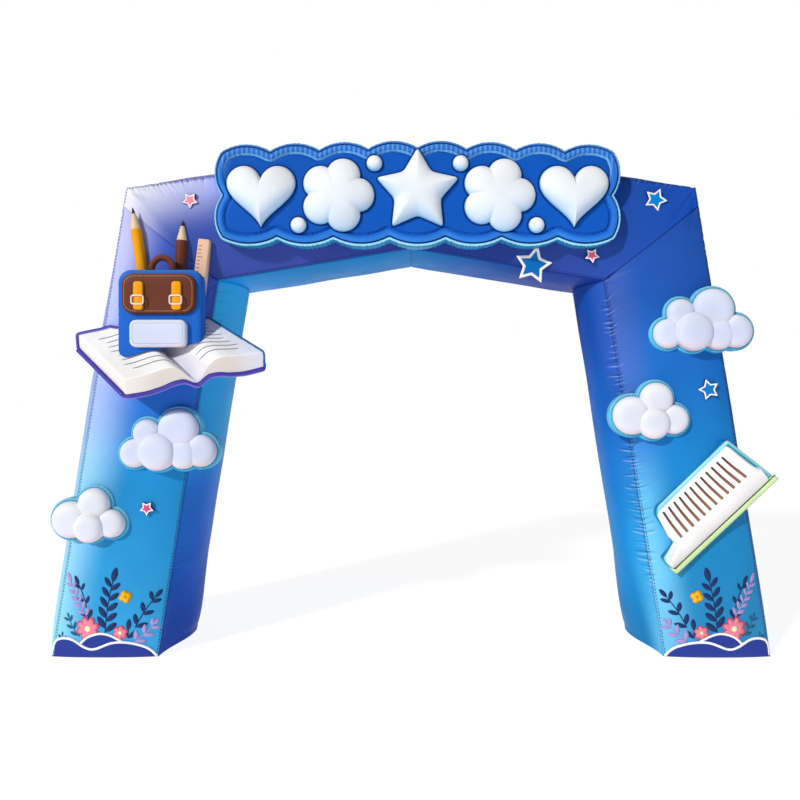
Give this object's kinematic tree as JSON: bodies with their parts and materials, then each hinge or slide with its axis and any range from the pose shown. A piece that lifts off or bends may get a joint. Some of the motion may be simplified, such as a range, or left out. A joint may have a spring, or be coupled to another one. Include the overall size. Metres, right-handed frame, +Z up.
{
  "type": "inflatable arch",
  "caption": "Free-standing inflated entrance arch with leaning legs and a gabled beam, padded sign, clouds, stars, open book, satchel and notebook sewn to its front.",
  "frame": {"origin": "middle of the object's box on the floor, between the two feet", "axes": "+X to the right across the arch seen from its front, +Y from the decorated front to the plain back, +Z up"},
  "size_m": [8.2516, 1.8931, 5.77],
  "materials": {
    "arch_fabric": "satin coated nylon, violet-blue to sky blue",
    "sign_blue": "satin coated nylon",
    "puff_white": "satin coated nylon",
    "rim_cyan": "satin coated nylon",
    "star_pink": "satin coated nylon with a white border",
    "star_blue": "satin coated nylon with a white border",
    "cover_violet": "satin coated nylon",
    "page_white": "satin coated nylon with printed lines",
    "satchel_blue": "satin coated nylon",
    "satchel_brown": "satin coated nylon",
    "satchel_yellow": "satin coated nylon",
    "ruler_peach": "satin coated nylon",
    "notebook_green": "satin coated nylon"
  },
  "bodies": {
    "root": {"beam_left": "arch_fabric", "beam_right": "arch_fabric", "book_cover": "cover_violet", "book_page_left": "page_white", "book_page_right": "page_white", "cloud_lower_left_puff": "puff_white", "cloud_lower_left_rim": "rim_cyan", "cloud_middle_right_puff": "puff_white", "cloud_middle_right_rim": "rim_cyan", "cloud_upper_left_puff": "puff_white", "cloud_upper_left_rim": "rim_cyan", "cloud_upper_right_puff": "puff_white", "cloud_upper_right_rim": "rim_cyan", "leg_left": "arch_fabric", "leg_right": "arch_fabric", "notebook_block": "page_white", "notebook_cover": "rim_cyan", "notebook_edge": "notebook_green", "notebook_page": "page_white", "pencil_brown": "satchel_brown", "pencil_yellow": "satchel_yellow", "ruler": "ruler_peach", "satchel_body": "satchel_blue", "satchel_flap": "satchel_brown", "satchel_handle": "satchel_brown", "satchel_pocket": "puff_white", "satchel_strap_left": "satchel_yellow", "satchel_strap_right": "satchel_yellow", "sign_dot_lower_left": "puff_white", "sign_dot_lower_right": "puff_white", "sign_dot_upper_left": "puff_white", "sign_dot_upper_right": "puff_white", "sign_flower_left": "puff_white", "sign_flower_right": "puff_white", "sign_heart_left": "puff_white", "sign_heart_right": "puff_white", "sign_panel": "sign_blue", "sign_star": "puff_white", "star_blue_beam_right": "star_blue", "star_blue_large": "star_blue", "star_blue_leg_right": "star_blue", "star_pink_beam_left": "star_pink", "star_pink_beam_right": "star_pink", "star_pink_leg_left": "star_pink"}
  },
  "joints": []
}
